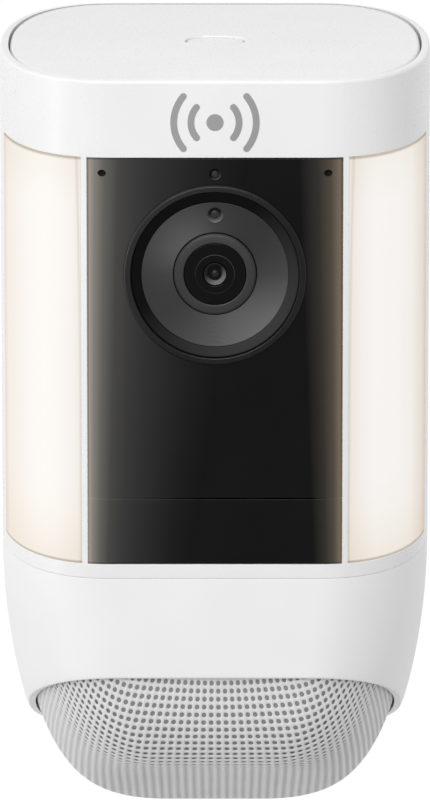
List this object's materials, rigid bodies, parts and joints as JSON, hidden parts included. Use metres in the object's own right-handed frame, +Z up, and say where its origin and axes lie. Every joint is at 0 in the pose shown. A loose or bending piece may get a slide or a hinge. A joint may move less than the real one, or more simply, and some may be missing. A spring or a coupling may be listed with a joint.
{
  "type": "floodlight security camera",
  "caption": "Wall-mounted battery security camera: rounded body, lens in a black front panel between two light panels, lift-off top, sloping speaker grille and jointed bracket.",
  "frame": {"origin": "centre of the wall plate's back face, where it meets the wall", "axes": "+Y into the wall, +Z up; the camera looks along -Y and +X is to its left as it looks out, which is the right side of the picture"},
  "size_m": [0.077, 0.1346, 0.1493],
  "materials": {
    "white_shell": "satin moulded plastic",
    "grille_shell": "satin, perforated",
    "diffuser": "translucent, glowing warm white",
    "black_panel": "gloss",
    "dark_ring": "semi-gloss",
    "lens_grey": "satin",
    "lens_glass": "coated, polished",
    "black_plastic": "matt",
    "steel": "brushed",
    "gold": "plated",
    "board": "solder mask",
    "led_yellow": "phosphor",
    "rubber_grey": "matt",
    "inner_grey": "matt",
    "orange_key": "matt",
    "pack_black": "fine grain"
  },
  "bodies": {
    "wall_mount": {"wall_plate": "white_shell"},
    "swivel": {"swivel_base": "white_shell", "swivel_ring": "rubber_grey", "tilt_pin": "steel", "tilt_washers": "rubber_grey"},
    "knob": {"tilt_knob": "white_shell"},
    "arm": {"arm": "white_shell", "spigot_nut": "steel"},
    "camera": {"housing": "white_shell", "rear_cover": "white_shell", "case_screws": "steel", "skirt": "white_shell", "base_plate": "inner_grey", "speaker_baffle": "inner_grey", "speaker_grille": "grille_shell", "speaker_frame": "black_plastic", "speaker_magnet": "steel", "front_panel": "black_panel", "sensor_window": "black_panel", "light_diffuser_left": "diffuser", "light_diffuser_right": "diffuser", "reflector_left": "white_shell", "reflector_right": "white_shell", "led_boards": "board", "leds": "led_yellow", "bezel_ring": "dark_ring", "lens_cone": "lens_grey", "lens_ring": "lens_grey", "front_lens": "lens_glass", "lens_barrel": "black_plastic", "inner_lenses": "lens_glass", "filter_holder": "black_plastic", "image_sensor": "black_plastic", "sensor_board": "board", "ir_emitter": "lens_glass", "status_light": "lens_glass", "mic_gaskets": "rubber_grey", "mic_board": "board", "radar_board": "board", "motion_sensor": "gold", "chassis": "inner_grey", "main_board": "board", "board_shields": "steel", "wifi_antennas": "gold", "battery_bay": "inner_grey", "bay_contacts": "gold", "bay_seal": "rubber_grey", "top_deck": "inner_grey"},
    "plug": {"port_plug": "white_shell"},
    "voice_cone": {"speaker_cone": "black_plastic"},
    "filter": {"ir_filter": "lens_glass"},
    "setup_key": {"setup_button": "orange_key"},
    "cover": {"top_cover": "white_shell", "latch_plate": "steel", "button_spring": "steel"},
    "release_key": {"release_button": "white_shell"},
    "bolt_left": {"latch_bolt_left": "black_plastic"},
    "bolt_right": {"latch_bolt_right": "black_plastic"},
    "pack_left": {"battery_left": "pack_black"},
    "pack_right": {"battery_right": "pack_black"}
  },
  "joints": [
    {"name": "base_swivel", "type": "hinge", "parent": "wall_mount", "child": "swivel", "pos_m": [0, -0.005, 0], "axis": [0, 1, 0], "range_deg": [-90, 90]},
    {"name": "arm_tilt", "type": "hinge", "parent": "swivel", "child": "arm", "pos_m": [0, -0.028, 0], "axis": [1, 0, 0], "range_deg": [-45, 32]},
    {"name": "tilt_knob_turn", "type": "hinge", "parent": "swivel", "child": "knob", "pos_m": [0.0165, -0.028, 0], "axis": [1, 0, 0], "range_deg": [-180, 180]},
    {"name": "camera_roll", "type": "hinge", "parent": "arm", "child": "camera", "pos_m": [0, -0.052, 0], "axis": [0, 1, 0], "range_deg": [-90, 90]},
    {"name": "cover_lift", "type": "slide", "parent": "camera", "child": "cover", "axis": [0, 0, 1], "range_m": [0, 0.11]},
    {"name": "release_press", "type": "slide", "parent": "cover", "child": "release_key", "axis": [0, 0, -1], "range_m": [0, 0.0015], "stiffness_N_per_m": 500, "deforming": ["button_spring"]},
    {"name": "bolt_left_slide", "type": "slide", "parent": "cover", "child": "bolt_left", "axis": [1, 0, 0], "range_m": [0, 0.0015]},
    {"name": "bolt_right_slide", "type": "slide", "parent": "cover", "child": "bolt_right", "axis": [-1, 0, 0], "range_m": [0, 0.0015]},
    {"name": "pack_left_lift", "type": "slide", "parent": "camera", "child": "pack_left", "axis": [0, 0, 1], "range_m": [0, 0.0825]},
    {"name": "pack_right_lift", "type": "slide", "parent": "camera", "child": "pack_right", "axis": [0, 0, 1], "range_m": [0, 0.0825]},
    {"name": "setup_press", "type": "slide", "parent": "camera", "child": "setup_key", "axis": [0, 0, -1], "range_m": [0, 0.0008], "stiffness_N_per_m": 400},
    {"name": "plug_pull", "type": "slide", "parent": "camera", "child": "plug", "axis": [0, 1, 0], "range_m": [0, 0.008]},
    {"name": "filter_shift", "type": "slide", "parent": "camera", "child": "filter", "axis": [1, 0, 0], "range_m": [0, 0.0066]},
    {"name": "cone_stroke", "type": "slide", "parent": "camera", "child": "voice_cone", "axis": [0, -0.3453, -0.9385], "range_m": [-0.0005, 0.0005], "stiffness_N_per_m": 1500}
  ],
  "couplings": [
    {"joint": "bolt_left_slide", "follows": "release_press", "ratio": 1},
    {"joint": "bolt_right_slide", "follows": "release_press", "ratio": 1},
    {"joint": "pack_left_lift", "follows": "cover_lift", "ratio": 0.75},
    {"joint": "pack_right_lift", "follows": "cover_lift", "ratio": 0.75}
  ]
}
